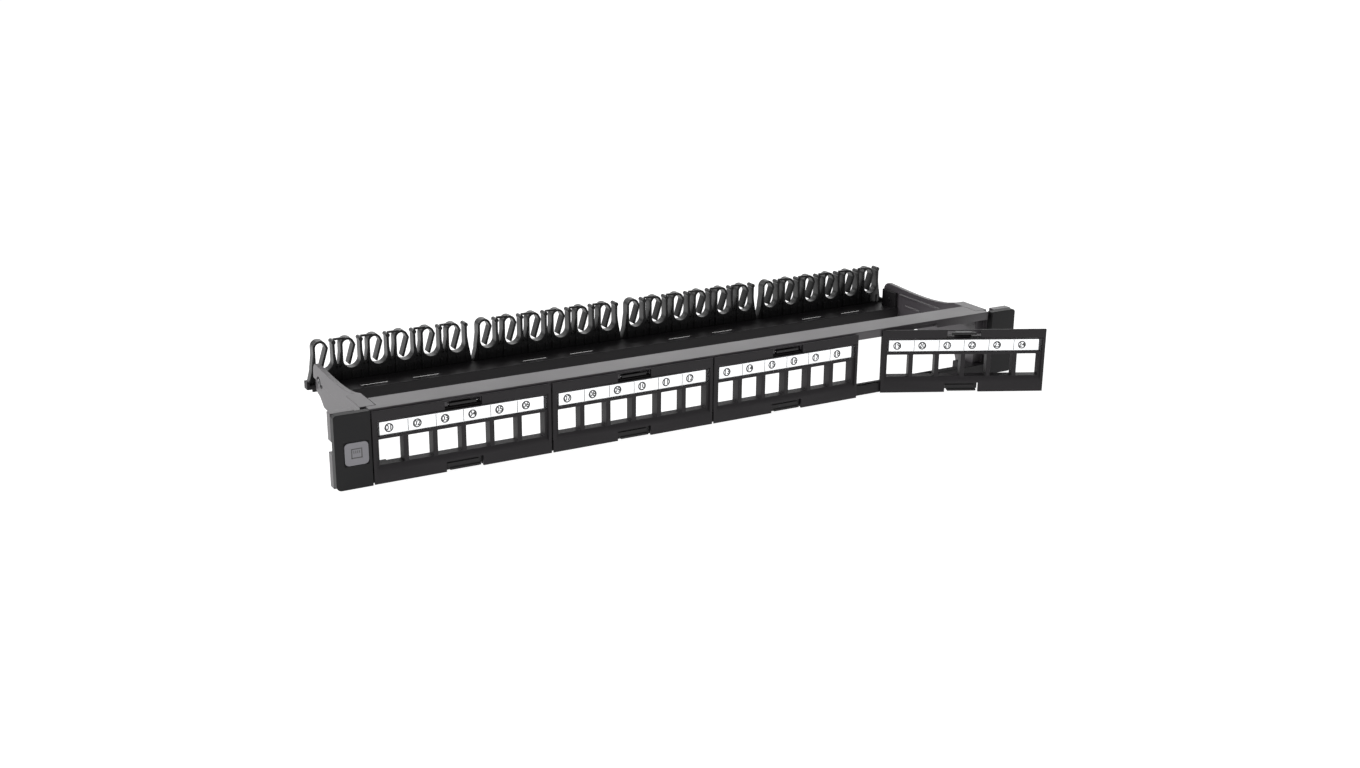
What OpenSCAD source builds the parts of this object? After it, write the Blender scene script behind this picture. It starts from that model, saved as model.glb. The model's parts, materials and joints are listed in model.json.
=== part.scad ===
// Modular 19-inch patch panel, one rack unit high. Four swing-out modules of six
// keystone openings stand in a front frame, with label strips, push-fit end caps
// and a cable comb on a tray behind.
// +X runs along the panel, +Y rearwards and +Z up. The origin is the centre of the
// rack-slot pattern, on the plane where the ears meet the rack.
// Modules draw in panel coordinates, where Y = 0 is the front and Z = 0 the bottom,
// and in_panel() or at_module() puts them in place.

/* [Panel] */
// Overall width across the two ears
panel_w = 482.6; // [481:0.1:484]
// Height of the panel
panel_h = 44; // [43.6:0.1:44.4]
// Which module rests swung open, or 0 for none
open_module = 4; // [0:1:4]

/* [Modules] */
// Distance from one module to the next
module_pitch = 110; // [109.8:0.1:110]
// Gap between two neighbouring modules
module_gap = 1; // [0.9:0.1:1.2]
// Thickness of a module's face plate
plate_t = 1.5; // [1.2:0.1:1.6]
// Depth of a module from its face to its back
module_depth = 8; // [7:0.1:8]
// Width of a keystone opening
window_w = 14.5; // [14:0.1:14.8]
// Height of a keystone opening
window_h = 15; // [14:0.1:16]
// Distance from one keystone opening to the next
window_pitch = 17.35; // [17.2:0.05:17.4]

/* [Swing] */
// Angle through which a module swings out
swing_deg = 26; // [10:1:30]
// Distance its hinge pin slides along the rails meanwhile
swing_slide = 20.997; // [10:0.001:22]

/* [Labels] */
// Width of the clear label cover
cover_w = 103; // [100:0.1:103.2]
// Height of the clear label cover
cover_h = 8; // [7.6:0.1:8.1]
// Width of the paper label card
card_w = 100; // [98:0.1:102]

/* [Rack mount] */
// Distance between the slot columns on the left and right ears
slot_span_x = 465.1; // [465:0.1:465.2]
// Distance between the upper and lower slot
slot_span_z = 31.75; // [31.7:0.05:31.8]
// Half the width of a slot
slot_r = 3.5; // [3.2:0.1:3.5]
// End-to-end length of a slot
slot_len = 10; // [8:0.1:11]

/* [Rear cable manager] */
// Distance between the inner faces of the two side arms
arm_span = 428; // [427:0.1:428.4]
// Depth of the tray from its front wall to its back
tray_d = 34; // [33:0.5:36]
// Distance from one cable clip to the next
clip_pitch = 17.5; // [17:0.1:17.8]
// Thickness of a clip's bent strip
strip_t = 1.5; // [1.3:0.1:1.7]
// Depth of a clip from front to back
clip_d = 6.8; // [6:0.1:7]

/* [Hidden] */
$fn = 48;
nudge = 0.01;
reach = 60;
module_count = 4;
ports = 6;

black = [0.12, 0.115, 0.125];
charcoal = [0.19, 0.18, 0.2];
satin = [0.42, 0.4, 0.41];
paper = [0.95, 0.95, 0.95];
clear = [0.85, 0.9, 0.92, 0.4];
steel = [0.6, 0.6, 0.62];
badge_grey = [0.58, 0.58, 0.59];

// Module, in its own coordinates: x = 0 is the left edge of its place in the row
edge_x0 = module_gap / 2;
edge_x1 = module_pitch - module_gap / 2;
plate_z0 = 0.3;
plate_z1 = 43;
relief = 1.2;
relief_d = 1;
box_x0 = 3.2;
box_x1 = 106.6;
box_z0 = 7.6;
box_z1 = 38;
mid_x0 = 1.9;
mid_x1 = 107.9;
mid_back = 3.5;
recess_x0 = 2.9;
recess_x1 = 107.6;
recess_d = 1.2;
sill_z = 8;
window_x0 = 4.4;
window_z = 11;
jack_step = 4.9;
jack_top = 36.6;
pocket_z = 27.7;
pocket_back = 2.5;
pocket_h = 8.3;
pocket_play = 0.15;
sill_rise = 2.6;
recess_top = [36.8, 37.3];
cover_x = 4.15;
cover_t = 1.15;
cover_front = 1;
card_x = 5.5;
card_h = 7.4;
card_t = 0.28;
card_play = 0.05;

// Hinge: a steel pin in the module's barrel, with its ends in grooves in the rails
hinge_x = 2.4;
hinge_y = 4.4;
pin_r = 1;
bore_r = 1.04;
barrel_r = 1.9;
groove_r = 1.05;
groove_d = 2.5;
groove_play = 0.2;

// Latches at the middle of a module
latch_mid = 54.75;
latch_stem_w = 11;
latch_stem_y = 4;
latch_stem_t = 1.2;
latch_play = 0.3;
notch_w = 22.5;
top_notch = [37.4, 42.2, 2.2];
low_notch = [-1, 6.5, 1.8];
stem_guide_z = [9.9, 29];
rail_notch_x0 = 46.5;
rail_notch_x1 = 66;
rail_notch_back = 6.4;
rail_notch_top = 41.9;
finger_t = 1.6;
finger_top_z = 39.3;
finger_top_w = 16.5;
finger_top_y = [0.6, 2];
top_stem_z = 30.5;
// Outline of the lower latch's tab, as [x, z] from the latch's middle
low_tab = [[-9.2, 1], [10.3, 1], [8.8, 5.2], [-10.9, 5.2], [-10.9, 3.4]];
low_lip_h = 1.4;
// Shield behind the lower notch: half width, front and back
low_shield = [10.8, 1.75, 2.25];
low_tab_y = [0.1, 0.9, 1.6];
low_stem_z = [1.2, 2.8, 8.6];

// Rails
rail_y0 = 2.5;
rail_y1 = 8.4;
rail_end = 219.8;
low_rail_z0 = 0.5;
low_rail_z1 = 7;
top_rail_z0 = 38.5;
flange_t = 1.6;
flange_back = 22.5;
lip_t = 1.6;
inner_end = arm_span / 2 - 0.3;
block_w = 8;
block_back = 20;
block_z0 = 34;
screw_y = 16.5;
low_screw_z = 3.75;
pilot_r = 1.45;
pilot_stop = 1;
rail_channel = [[-200, 7.2, 2.2], [200, 9, 5.4]];
top_screw_z = 38;

// Ears and caps
ear_y0 = 8.6;
ear_t = 2.4;
ear_back_y = ear_y0 + ear_t;
ear_rim_y = 5.2;
rim_t = 1.5;
slot_cut = 10;
cap_x0 = 221.2;
cap_face_t = 1.8;
cap_d = 5;
left_cap_reach = 1.1;
cap_corner = [3, 2];
prong_z = [6, 34];
prong_h = 5;
prong_t = 1.2;
prong_back = 7.8;
ear_notch_z0 = 20.5;
ear_notch_h = 7;
ear_relief_x = 227.3;
ear_relief_z = 39.5;
cap_gap = 0.2;
badge_w = 13.7;
badge_h = 13.2;
badge_x = -229;
badge_z = 20.6;
badge_r = 2.5;
badge_y = [-0.25, 0.28];
badge_seat = 0.3;
badge_play = 0.1;

// Side arms
arm_t = 3;
arm_x0 = arm_span / 2;
arm_back = 112.5;
arm_top_back = 33;
arm_skirt = 1.2;
arm_ledge_x = 223;
arm_ledge_t = 2;
arm_low_y = [34, 54, 107, 114];
arm_rib_h = 1.2;
arm_rib_d = 0.8;
// Stiffening ribs inside an arm, as [y0, y1, z]
arm_ribs = [[47, 93, 35.4], [69, 86, 28.4]];
arm_screw_r = 1.6;
tray_boss_bore = 3.7;

// Tray and combs
tray_y0 = 94;
tray_z0 = 23;
tray_t = 1.6;
tray_lip_z = 26.2;
tray_wall_z = 14;
tray_boss_y = 102.5;
tray_boss_z = 31;
tray_back_z = 17.5;
tray_end_back = 111;
tray_end_z = 37;
tray_boss_r = 3.4;
tray_boss_out = 1.6;
tray_pilot_r = 1.25;
foot_x = 30;
// Slots in the tray's floor, as [distance from a comb's middle, half width, y0, y1]
floor_slot = [17, 9.25, 105, 109.5];
foot_slot = [foot_x, 4.2, 120.8, 124.2];
tab_y = [118, 124];
tab_x = [217.7, 219.6];
comb_w = 104.8;
comb_pitch = 109;
comb_y0 = 120;
comb_flare = 1.6;
web_inset = 0.6;
web_top = 34;
gusset_w = 1.4;
gusset_top = 43;
rib_w = 1.4;
rib_d = 0.7;
rib_h = 5.5;
foot_w = 8;
foot_y = [1, 4];
foot_h = 3;
clip_count = 6;
comb_z0 = tray_z0 + tray_t;
end_tab_z = 27;

// Screws: radius and length of each head, shank and driver recess
head_lift = 0.02;
rail_head = [2.7, 1.8];
rail_shank = [1.4, 5];
rail_drive = [0.9, 1];
tray_head = [2.5, 1.3];
tray_shank = [1.2, 2.6];
tray_drive = [0.8, 0.7];

// Cable clip, as [x, z] from its place in the comb: a post, an arch that comes down as
// a springy tongue, and a trough whose far side rises as a limb with a knob
post_x = 1.9;
limb_x = 14.4;
trough_c = [8.9, 37.5];
trough_r = 5.5;
arch_c = [6.4, 47.1];
arch_r = 4.5;
shoulder_c = [9.9, 46.3];
shoulder_r = 1.7;
tongue_tip = [7.3, 34.9];
knob_c = [15.2, 49.4];
knob_r = 1.4;
bar_x = [-2.4, 5];
bar_z = 50.8;
bar_h = 1.2;
bar_d = 1.8;
shoulder_step = shoulder_c - arch_c;
shoulder_angle = atan2(shoulder_step[1], shoulder_step[0])
    + acos((arch_r - shoulder_r) / norm(shoulder_step));

function module_left(i) = (i - module_count / 2) * module_pitch;
function is_open(i) = i + 1 == open_module;
function comb_left(i) = (i - (module_count - 1) / 2) * comb_pitch - comb_w / 2;
// Points along an arc from angle a0 to a1
function arc(c, r, a0, a1, n = 8) =
    [for (k = [0:n]) let (a = a0 + (a1 - a0) * k / n) [c[0] + r * cos(a), c[1] + r * sin(a)]];
// Height of an arm's top edge at depth y, with a long shallow dip
function arm_top(y) =
    let (t = (y - arm_top_back) / (104 - arm_top_back))
    44 - 2.5 * t - 2.9 * sin(180 * pow(t, 0.75));

// Panel coordinates to the part's own frame
module in_panel() {
    translate([0, -ear_back_y, -panel_h / 2]) children();
}

// A closed module's coordinates to its place, shut or swung out
module at_module(i) {
    in_panel()
        translate([module_left(i) + (is_open(i) ? swing_slide : 0), 0, 0])
            translate([hinge_x, hinge_y, 0])
                rotate(is_open(i) ? -swing_deg : 0)
                    translate([-hinge_x, -hinge_y, 0]) children();
}

// Extrudes a profile of [y, z] points along X
module along_x(x0, x1) {
    translate([x0, 0, 0]) rotate([90, 0, 90]) linear_extrude(height = x1 - x0) children();
}

// Extrudes a profile of [x, z] points along Y
module along_y(y0, y1) {
    translate([0, y1, 0]) rotate([90, 0, 0]) linear_extrude(height = y1 - y0) children();
}

// A cylinder along X
module rod_x(x0, x1, y, z, r) {
    translate([x0, y, z]) rotate([0, 90, 0]) cylinder(h = x1 - x0, r = r);
}

// A box from its two corners
module block(a, b) {
    translate(a) cube(b - a);
}

// The groove in which a hinge pin's end slides, from z0 up to z1
module pin_groove(i, z0, z1) {
    x0 = module_left(i) + hinge_x;
    x1 = x0 + swing_slide;
    block([x0, hinge_y - groove_r, z0], [x1, hinge_y + groove_r, z1]);
    for (x = [x0, x1]) translate([x, hinge_y, z0]) cylinder(h = z1 - z0, r = groove_r);
}

// The pocket in a rail that clears a module's latch, from z0 up to z1
module latch_pocket(i, z0, z1) {
    x = module_left(i);
    block([x + rail_notch_x0, rail_y0 - 1, z0], [x + rail_notch_x1, rail_notch_back, z1]);
}

module top_rail() {
    top = panel_h;
    flange_z = top - flange_t;
    color(satin) in_panel() difference() {
        union() {
            block([-rail_end, rail_y0, top_rail_z0], [rail_end, rail_y1, top]);
            block([-inner_end, rail_y1 - nudge, flange_z], [inner_end, flange_back, top]);
            block([-inner_end, flange_back - lip_t, top_rail_z0], [inner_end, flange_back, top]);
            for (s = [-1, 1]) scale([s, 1, 1])
                block([inner_end - block_w, rail_y1 - nudge, block_z0],
                      [inner_end, block_back, top - nudge]);
        }
        for (i = [0:module_count - 1]) {
            pin_groove(i, top_rail_z0 - 1, top_rail_z0 + groove_d + groove_play);
            latch_pocket(i, top_rail_z0 - 1, rail_notch_top);
        }
        for (s = [-1, 1]) scale([s, 1, 1])
            rod_x(inner_end - block_w + pilot_stop, inner_end + 1, screw_y, top_screw_z, pilot_r);
    }
}

module bottom_rail() {
    color(black) in_panel() difference() {
        union() {
            block([-rail_end, rail_y0, low_rail_z0], [rail_end, rail_y1, low_rail_z1]);
            for (s = [-1, 1]) scale([s, 1, 1])
                block([inner_end - block_w, rail_y1 - nudge, low_rail_z0],
                      [inner_end, block_back, low_rail_z1]);
        }
        block(rail_channel[0], rail_channel[1]);
        for (i = [0:module_count - 1]) {
            pin_groove(i, low_rail_z1 - groove_d, low_rail_z1 + 1);
            latch_pocket(i, -1, low_rail_z1 + 1);
        }
        for (s = [-1, 1]) scale([s, 1, 1])
            rod_x(inner_end - block_w + pilot_stop, inner_end + 1, screw_y, low_screw_z, pilot_r);
    }
}

// Side view of an arm, as [y, z] points
module arm_profile() {
    polygon(concat(
        [[ear_y0, 0.5]],
        arc([22, 6], 5.5, -90, -10),
        [[29.5, 10.5]],
        arc([35, 8.9], 5.8, 150, 95),
        [[82, 15.4], [98.5, 16], [105, 21], [110, 22.4]],
        arc([109.5, 25.4], 3, -60, 0, 4),
        arc([106.5, 35.6], 6, 0, 100, 8),
        [for (k = [7:-1:0]) let (y = arm_top_back + (104 - arm_top_back) * k / 8)
            [y, arm_top(y)]],
        [[ear_y0, 44]]
    ));
}

// One rack slot at x, z, cut from front to back
module rack_slot(x, z) {
    half = slot_len / 2 - slot_r;
    for (s = [-1, 1]) translate([x + s * half, ear_rim_y, z])
        rotate([-90, 0, 0]) cylinder(h = slot_cut, r = slot_r);
    block([x - half, ear_rim_y, z - slot_r], [x + half, ear_rim_y + slot_cut, z + slot_r]);
}

// Right-hand side bracket: rack ear and arm in one moulding
module bracket() {
    ear_x1 = panel_w / 2;
    slot_x = slot_span_x / 2;
    color(satin) in_panel() difference() {
        union() {
            block([arm_x0, ear_y0, 0], [ear_x1, ear_back_y, panel_h]);
            block([cap_x0 + cap_gap, ear_rim_y, 0], [ear_x1, ear_y0 + nudge, panel_h]);
            along_x(arm_x0, arm_x0 + arm_t) arm_profile();
            block([arm_x0, ear_y0, panel_h - arm_ledge_t], [arm_ledge_x, arm_top_back, panel_h]);
            for (rib = arm_ribs)
                block([arm_x0 - arm_rib_d, rib[0], rib[2]], [arm_x0 + nudge, rib[1], rib[2] + arm_rib_h]);
        }
        block([cap_x0 + cap_gap + rim_t, ear_rim_y - 1, rim_t],
              [ear_x1 - rim_t, ear_y0, panel_h - rim_t]);
        block([ear_x1 - rim_t - 1, ear_rim_y - 1, ear_notch_z0],
              [ear_x1 + 1, ear_back_y + 1, ear_notch_z0 + ear_notch_h]);
        block([arm_x0 + arm_t, ear_rim_y - 1, ear_relief_z], [ear_relief_x, ear_y0, panel_h + 1]);
        block([arm_ledge_x, ear_y0 - 1, ear_relief_z], [ear_relief_x, ear_back_y + 1, panel_h + 1]);
        for (s = [-1, 1]) rack_slot(slot_x, panel_h / 2 + s * slot_span_z / 2);
        for (z = [low_screw_z, top_screw_z])
            rod_x(arm_x0 - 1, arm_x0 + arm_t + 1, screw_y, z, arm_screw_r);
        rod_x(arm_x0 - 1, arm_x0 + arm_t + 1, tray_boss_y, tray_boss_z, tray_boss_bore);
        along_x(arm_x0 + arm_t - arm_skirt, arm_x0 + arm_t + 1)
            polygon([[arm_low_y[0], 26.7], [arm_low_y[1], 28], [arm_low_y[2], 31.4],
                     [arm_low_y[3], 31.8], [arm_low_y[3], 0], [arm_low_y[0], 0]]);
    }
}

module right_bracket() bracket();

module left_bracket() mirror([1, 0, 0]) bracket();

module rear_tray() {
    y1 = tray_y0 + tray_d;
    floor_z = tray_z0 + tray_t;
    color(black) in_panel() difference() {
        union() {
            block([-inner_end, tray_y0, tray_z0], [inner_end, y1, floor_z]);
            block([-inner_end, tray_y0, tray_wall_z], [inner_end, tray_y0 + tray_t, tray_lip_z]);
            block([-inner_end, y1 - tray_t, tray_back_z], [inner_end, y1, floor_z]);
            for (s = [-1, 1]) scale([s, 1, 1]) {
                block([inner_end - 2, tray_y0 + tray_t, floor_z - nudge],
                      [inner_end, tray_end_back, tray_end_z]);
                rod_x(inner_end - nudge, arm_x0 + tray_boss_out, tray_boss_y, tray_boss_z, tray_boss_r);
                block([inner_end - nudge, tab_y[0], tray_z0 - 1], [tab_x[1], tab_y[1], comb_z0]);
                block([tab_x[0], tab_y[0], tray_z0], [tab_x[1], tab_y[1], end_tab_z]);
            }
        }
        for (i = [0:module_count - 1]) {
            mid = comb_left(i) + comb_w / 2;
            for (s = [-1, 1], slot = [floor_slot, foot_slot]) {
                x = mid + s * slot[0];
                block([x - slot[1], slot[2], tray_z0 - 1], [x + slot[1], slot[3], floor_z + 1]);
            }
        }
        for (s = [-1, 1]) scale([s, 1, 1])
            rod_x(inner_end - 3, arm_x0 + 3, tray_boss_y, tray_boss_z, tray_pilot_r);
    }
}

// Outline of a clip's arch, shrunk by an inset
module arch_disc(inset) {
    way = [cos(shoulder_angle), sin(shoulder_angle)];
    translate(arch_c) circle(r = arch_r - inset);
    translate(shoulder_c) circle(r = shoulder_r - inset);
    polygon([arch_c, arch_c + (arch_r - inset) * way,
             shoulder_c + (shoulder_r - inset) * way, shoulder_c]);
}

// Front view of one cable clip
module clip_profile() {
    tongue = [strip_t / 2, 0];
    difference() {
        translate([post_x, comb_z0])
            square([limb_x + strip_t - post_x, trough_c[1] - comb_z0]);
        translate(trough_c) circle(r = trough_r);
    }
    translate([post_x, trough_c[1] - nudge]) square([strip_t, arch_c[1] - trough_c[1] + nudge]);
    translate([limb_x, trough_c[1] - nudge]) square([strip_t, knob_c[1] - trough_c[1]]);
    translate(knob_c) circle(r = knob_r);
    difference() {
        arch_disc(0);
        arch_disc(strip_t);
        polygon([[-reach, arch_c[1]], arch_c, shoulder_c, [reach, shoulder_c[1]],
                 [reach, 0], [-reach, 0]]);
    }
    polygon([[shoulder_c[0] + shoulder_r, shoulder_c[1] + nudge],
             [shoulder_c[0] + shoulder_r - strip_t, shoulder_c[1] + nudge],
             tongue_tip - tongue, tongue_tip + tongue]);
    translate(tongue_tip) circle(d = strip_t);
}

// Front view of the gussets that stiffen a clip's post and limb
module clip_gussets() {
    low = web_top - 1;
    polygon([[post_x + nudge, low], [post_x + nudge, gusset_top], [post_x - gusset_w, low]]);
    polygon([[limb_x + strip_t - nudge, low], [limb_x + strip_t + gusset_w, low],
             [limb_x + strip_t - nudge, gusset_top]]);
}

// One comb of cable clips, with the feet that snap into the tray
module cable_comb(i) {
    x0 = comb_left(i);
    x1 = x0 + comb_w;
    mid = x0 + comb_w / 2;
    back = comb_y0 + clip_d;
    color(black) in_panel() {
        along_y(comb_y0 + web_inset, back - web_inset) difference() {
            polygon([[x0 - comb_flare, comb_z0], [x1 + comb_flare, comb_z0],
                     [x1, web_top], [x0 + post_x / 2, web_top]]);
            for (k = [0:clip_count - 1])
                translate([x0 + k * clip_pitch, 0] + trough_c) circle(r = trough_r + strip_t / 2);
        }
        along_y(comb_y0 + web_inset, back - web_inset)
            for (k = [0:clip_count - 1]) translate([x0 + k * clip_pitch, 0]) clip_gussets();
        for (k = [0:clip_count - 1]) {
            x = x0 + k * clip_pitch;
            along_y(comb_y0, back) translate([x, 0]) clip_profile();
            if (k > 0)
                block([x + bar_x[0], comb_y0, bar_z], [x + bar_x[1], comb_y0 + bar_d, bar_z + bar_h]);
            for (rib = [post_x, trough_c[0] - rib_w / 2, limb_x])
                block([x + rib, comb_y0 - rib_d, comb_z0],
                      [x + rib + rib_w, comb_y0 + nudge, comb_z0 + rib_h]);
        }
        for (s = [-1, 1])
            block([mid + s * foot_x - foot_w / 2, comb_y0 + foot_y[0], comb_z0 - foot_h],
                  [mid + s * foot_x + foot_w / 2, comb_y0 + foot_y[1], comb_z0 + nudge]);
    }
}

// The moulded body of a port module
module port_module(i) {
    color(charcoal) at_module(i) difference() {
        union() {
            block([edge_x0, 0, plate_z0], [edge_x1, plate_t, plate_z1]);
            block([mid_x0, nudge, box_z0], [mid_x1, mid_back, box_z1]);
            block([box_x0, mid_back - nudge, box_z0], [box_x1, module_depth, box_z1]);
            translate([hinge_x, hinge_y, box_z0]) cylinder(h = box_z1 - box_z0, r = barrel_r);
        }
        edge_relief();
        // face recess with its slanted sill
        along_x(recess_x0, recess_x1) polygon([
            [-1, sill_z], [0, sill_z], [recess_d, sill_z + sill_rise],
            [recess_d, recess_top[0]], [0, recess_top[1]], [-1, recess_top[1]]]);
        // label pocket
        block([cover_x - pocket_play, 0, pocket_z],
              [cover_x + cover_w + pocket_play, pocket_back, pocket_z + pocket_h]);
        // keystone openings, taller behind for the jack's latch
        for (k = [0:ports - 1]) {
            x = window_x0 + k * window_pitch;
            block([x, -1, window_z], [x + window_w, reach, window_z + window_h]);
            block([x, jack_step, window_z], [x + window_w, reach, jack_top]);
        }
        // latch openings in the face
        for (notch = [top_notch, low_notch])
            block([latch_mid - notch_w / 2, -1, notch[0]], [latch_mid + notch_w / 2, notch[2], notch[1]]);
        // guides for the latch stems
        for (z = [[stem_guide_z[1], reach], [-1, stem_guide_z[0]]])
            block([latch_mid - latch_stem_w / 2 - latch_play, latch_stem_y - latch_play, z[0]],
                  [latch_mid + latch_stem_w / 2 + latch_play,
                   latch_stem_y + latch_stem_t + latch_play, z[1]]);
        // pin bore
        translate([hinge_x, hinge_y, -1]) cylinder(h = reach, r = bore_r);
    }
}

// A wedge off the back of the plate's left edge, which turns towards the rails
module edge_relief() {
    translate([0, 0, -1]) linear_extrude(height = reach)
        polygon([[edge_x0 - 1, plate_t - relief], [edge_x0 - 1, plate_t + nudge],
                 [edge_x0 + relief, plate_t + nudge], [edge_x0 + relief, plate_t],
                 [edge_x0, plate_t - relief_d]]);
}

module hinge_pin(i) {
    color(steel) at_module(i)
        translate([hinge_x, hinge_y, low_rail_z1 - groove_d + groove_play])
            cylinder(h = top_rail_z0 - low_rail_z1 + 2 * groove_d - groove_play, r = pin_r);
}

module label_card(i) {
    y0 = pocket_back - card_t - card_play;
    z0 = pocket_z + (pocket_h - card_h) / 2;
    color(paper) at_module(i) block([card_x, y0, z0], [card_x + card_w, y0 + card_t, z0 + card_h]);
}

module label_cover(i) {
    z0 = pocket_z + (pocket_h - cover_h) / 2;
    color(clear) at_module(i)
        block([cover_x, cover_front, z0], [cover_x + cover_w, cover_front + cover_t, z0 + cover_h]);
}

// Upper latch: a finger bar on a springy stem
module top_latch(i) {
    half = latch_stem_w / 2;
    top = finger_top_z + finger_t;
    stem_back = latch_stem_y + latch_stem_t;
    color(black) at_module(i) {
        block([latch_mid - finger_top_w / 2, finger_top_y[0], finger_top_z],
              [latch_mid + finger_top_w / 2, finger_top_y[1], top]);
        block([latch_mid - half, finger_top_y[1] - nudge, finger_top_z],
              [latch_mid + half, stem_back, top]);
        block([latch_mid - half, latch_stem_y, top_stem_z],
              [latch_mid + half, stem_back, top - nudge]);
    }
}

// Lower latch: a wider finger tab on a short stem
module bottom_latch(i) {
    half = latch_stem_w / 2;
    stem_back = latch_stem_y + latch_stem_t;
    color(black) at_module(i) {
        along_y(low_tab_y[1], low_tab_y[2]) translate([latch_mid, 0]) polygon(low_tab);
        block([latch_mid + low_tab[0][0], low_tab_y[0], low_tab[0][1]],
              [latch_mid + low_tab[1][0] - low_lip_h / 2, low_tab_y[1] + nudge,
               low_tab[0][1] + low_lip_h]);
        block([latch_mid - half, low_tab_y[2] - nudge, low_stem_z[0]],
              [latch_mid + half, stem_back, low_stem_z[1]]);
        block([latch_mid - low_shield[0], low_shield[1], low_stem_z[1] - 0.5],
              [latch_mid + low_shield[0], low_shield[2], low_notch[1]]);
        block([latch_mid - half, latch_stem_y, low_stem_z[0] + nudge],
              [latch_mid + half, stem_back, low_stem_z[2]]);
    }
}

// Outline of an end cap, as [x, z] points, with its outer corners rounded
module cap_outline(inset) {
    x0 = cap_x0 + inset;
    x1 = panel_w / 2 - inset;
    z1 = panel_h - inset;
    polygon(concat(
        [[x0, inset]],
        arc([x1 - cap_corner[0], inset + cap_corner[0]], cap_corner[0], -90, 0, 6),
        arc([x1 - cap_corner[1], z1 - cap_corner[1]], cap_corner[1], 0, 90, 6),
        [[x0, z1]]
    ));
}

// Right-hand end cap: a shallow shell with four prongs for the ear's pocket
module end_cap() {
    in_x0 = cap_x0 + cap_gap + rim_t + cap_gap;
    in_x1 = panel_w / 2 - rim_t - cap_gap;
    difference() {
        along_y(0, cap_d) cap_outline(0);
        along_y(cap_face_t, cap_d + 1) cap_outline(rim_t);
    }
    for (z = prong_z, x = [in_x0, in_x1 - prong_t])
        block([x, cap_face_t - nudge, z], [x + prong_t, prong_back, z + prong_h]);
}

module right_cap() color(charcoal) in_panel() end_cap();

module left_cap() {
    half_w = badge_w / 2 + badge_play;
    half_h = badge_h / 2 + badge_play;
    color(charcoal) in_panel() difference() {
        union() {
            mirror([1, 0, 0]) end_cap();
            block([-cap_x0 - nudge, 0, 0], [-cap_x0 + left_cap_reach, cap_d, panel_h]);
        }
        block([badge_x - half_w, -1, badge_z - half_h],
              [badge_x + half_w, badge_seat, badge_z + half_h]);
    }
}

// A plain rounded badge, with no mark on it
module badge() {
    straight_w = badge_w - 2 * badge_r;
    straight_h = badge_h - 2 * badge_r;
    color(badge_grey) in_panel() along_y(badge_y[0], badge_y[1]) translate([badge_x, badge_z]) {
        for (sx = [-1, 1], sz = [-1, 1])
            translate([sx * straight_w / 2, sz * straight_h / 2]) circle(r = badge_r);
        square([badge_w, straight_h], center = true);
        square([straight_w, badge_h], center = true);
    }
}

// Pan-head screws that hold the rails to the arms
module rail_screws() {
    face = arm_x0 + arm_t;
    color(steel) in_panel() for (s = [-1, 1], z = [low_screw_z, top_screw_z]) scale([s, 1, 1])
        difference() {
            union() {
                rod_x(face + head_lift, face + rail_head[1], screw_y, z, rail_head[0]);
                rod_x(inner_end - rail_shank[1], face + 0.5, screw_y, z, rail_shank[0]);
            }
            rod_x(face + rail_drive[1], face + 3, screw_y, z, rail_drive[0]);
        }
}

// Screws in the tray's end bosses
module tray_screws() {
    face = arm_x0 + tray_boss_out;
    color(steel) in_panel() for (s = [-1, 1]) scale([s, 1, 1])
        difference() {
            union() {
                rod_x(face + head_lift, face + tray_head[1], tray_boss_y, tray_boss_z, tray_head[0]);
                rod_x(inner_end - tray_shank[1], face + 0.5, tray_boss_y, tray_boss_z, tray_shank[0]);
            }
            rod_x(face + tray_drive[1], face + 3, tray_boss_y, tray_boss_z, tray_drive[0]);
        }
}

top_rail();
bottom_rail();
left_bracket();
right_bracket();
rear_tray();
cable_comb(0);  // cable_comb_1
cable_comb(1);  // cable_comb_2
cable_comb(2);  // cable_comb_3
cable_comb(3);  // cable_comb_4
port_module(0);  // port_module_1
port_module(1);  // port_module_2
port_module(2);  // port_module_3
port_module(3);  // port_module_4
hinge_pin(0);  // hinge_pin_1
hinge_pin(1);  // hinge_pin_2
hinge_pin(2);  // hinge_pin_3
hinge_pin(3);  // hinge_pin_4
label_card(0);  // label_card_1
label_card(1);  // label_card_2
label_card(2);  // label_card_3
label_card(3);  // label_card_4
label_cover(0);  // label_cover_1
label_cover(1);  // label_cover_2
label_cover(2);  // label_cover_3
label_cover(3);  // label_cover_4
top_latch(0);  // top_latch_1
top_latch(1);  // top_latch_2
top_latch(2);  // top_latch_3
top_latch(3);  // top_latch_4
bottom_latch(0);  // bottom_latch_1
bottom_latch(1);  // bottom_latch_2
bottom_latch(2);  // bottom_latch_3
bottom_latch(3);  // bottom_latch_4
left_cap();
right_cap();
badge();
rail_screws();
tray_screws();
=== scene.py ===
"""Looks of a modular patch panel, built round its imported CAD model.

Each operator makes one group of pieces. The moulded parts start from merged copies of
the CAD nodes, whose edges are then rounded; the cable combs, the print, the badge's
mark and the stage are modelled here.
"""

import json
import math

import bmesh
import bpy
from mathutils import Matrix, Vector

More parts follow.
